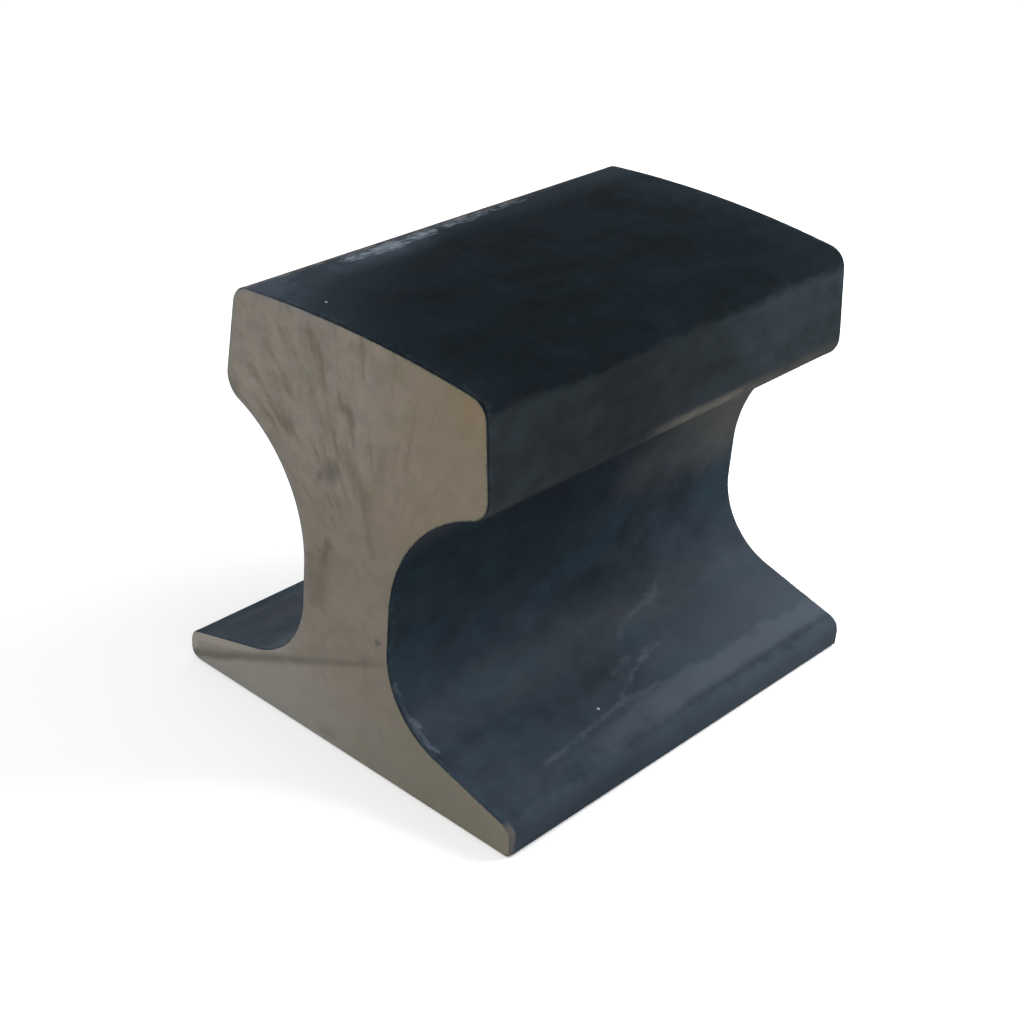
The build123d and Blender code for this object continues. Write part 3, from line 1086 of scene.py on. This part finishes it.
FLOOR_SIZE = 12.0
FLOOR_GAP = 0.2 * MM
FLOOR_BOUNCE = 0.6
FLOOR_LIFT = 0.17               # makes the unshaded floor white where it is seen
DOME_STRENGTH = 0.55
KEY_AZIMUTH, KEY_ELEVATION = -40, 33
KEY_STRENGTH = 1.7
KEY_SPREAD = 60
BOX_PLACE = Vector((0.30, 0.45, 0.45))
BOX_AIM = Vector((0.03, 0.0, 0.08))
BOX_SIZE = 0.4
BOX_POWER = 4.5
CAMERA_TARGET = Vector((73.5, -100, 133.8)) * MM
CAMERA_AZIMUTH, CAMERA_ELEVATION = 40.02, 29.61
CAMERA_ROLL = 4.59
CAMERA_DISTANCE = 625 * MM
CAMERA_LENS = 69.6


def seen_ray(tree):
    """1 on rays from the camera and on those that reflections and glass send on."""
    camera = tree.node("ShaderNodeLightPath", output="Is Camera Ray")
    glossy = tree.other(camera, "Is Glossy Ray")
    through = tree.other(camera, "Is Transmission Ray")
    return tree.larger(camera, tree.larger(glossy, through))


def make_floor():
    material, tree = new_finish("pale_floor")
    bounce = (FLOOR_BOUNCE, FLOOR_BOUNCE, FLOOR_BOUNCE, 1.0)
    seen = seen_ray(tree)
    lit = tree.node("ShaderNodeBsdfDiffuse", None, {"Color": tree.mix(seen, bounce, (1.0, 1.0, 1.0, 1.0))})
    lifted = tree.node("ShaderNodeEmission", None, {"Strength": seen * FLOOR_LIFT})
    surface(tree, tree.node("ShaderNodeAddShader", None, {0: lit, 1: lifted}))
    mesh = bpy.data.meshes.new("floor")
    reach = FLOOR_SIZE / 2
    corners = [(-reach, -reach), (reach, -reach), (reach, reach), (-reach, reach)]
    mesh.from_pydata([(x, y, -FLOOR_GAP) for x, y in corners], [], [(0, 1, 2, 3)])
    mesh.materials.append(material)
    floor = bpy.data.objects.new("floor", mesh)
    bpy.context.scene.collection.objects.link(floor)


def make_world():
    world = bpy.data.worlds.new("studio")
    world.use_nodes = True
    world.node_tree.nodes.clear()
    tree = Tree(world.node_tree)
    strength = tree.ease(seen_ray(tree), 0.0, 1.0, DOME_STRENGTH, 1.0)
    light = tree.node("ShaderNodeBackground", None, {"Color": (1.0, 1.0, 1.0, 1.0), "Strength": strength})
    tree.node("ShaderNodeOutputWorld", None, {"Surface": light})
    bpy.context.scene.world = world


def towards(azimuth, elevation):
    """The direction to a viewer or a lamp, with azimuth 0 in front of the rail's near end."""
    azimuth = math.radians(azimuth)
    elevation = math.radians(elevation)
    flat = math.cos(elevation)
    return Vector((math.sin(azimuth) * flat, -math.cos(azimuth) * flat, math.sin(elevation)))


def facing(direction):
    """The turn of a lamp or a camera that stands in a direction and looks back from it."""
    return direction.to_track_quat("Z", "Y").to_matrix()


def show(name, data, matrix):
    shown = bpy.data.objects.new(name, data)
    shown.matrix_world = matrix
    bpy.context.scene.collection.objects.link(shown)
    return shown


def make_lamps():
    key = bpy.data.lights.new("key", "SUN")
    key.energy = KEY_STRENGTH
    key.angle = math.radians(KEY_SPREAD)
    show("key", key, facing(towards(KEY_AZIMUTH, KEY_ELEVATION)).to_4x4())
    box = bpy.data.lights.new("box", "AREA")
    box.shape = "SQUARE"
    box.size = BOX_SIZE
    box.energy = BOX_POWER
    show("box", box, Matrix.Translation(BOX_PLACE) @ facing(BOX_PLACE - BOX_AIM).to_4x4())


def make_camera():
    camera = bpy.data.cameras.new("camera")
    camera.lens = CAMERA_LENS
    back = towards(CAMERA_AZIMUTH, CAMERA_ELEVATION)
    turned = facing(back) @ Matrix.Rotation(math.radians(CAMERA_ROLL), 3, "Z")
    place = Matrix.Translation(CAMERA_TARGET + back * CAMERA_DISTANCE)
    bpy.context.scene.camera = show("camera", camera, place @ turned.to_4x4())


rail = rail_skin(rolled_finish(), sawn_finish())
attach(rail, "root")
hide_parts("crane_rail")

make_floor()
make_world()
make_lamps()
make_camera()
bpy.context.scene.view_settings.view_transform = "Standard"
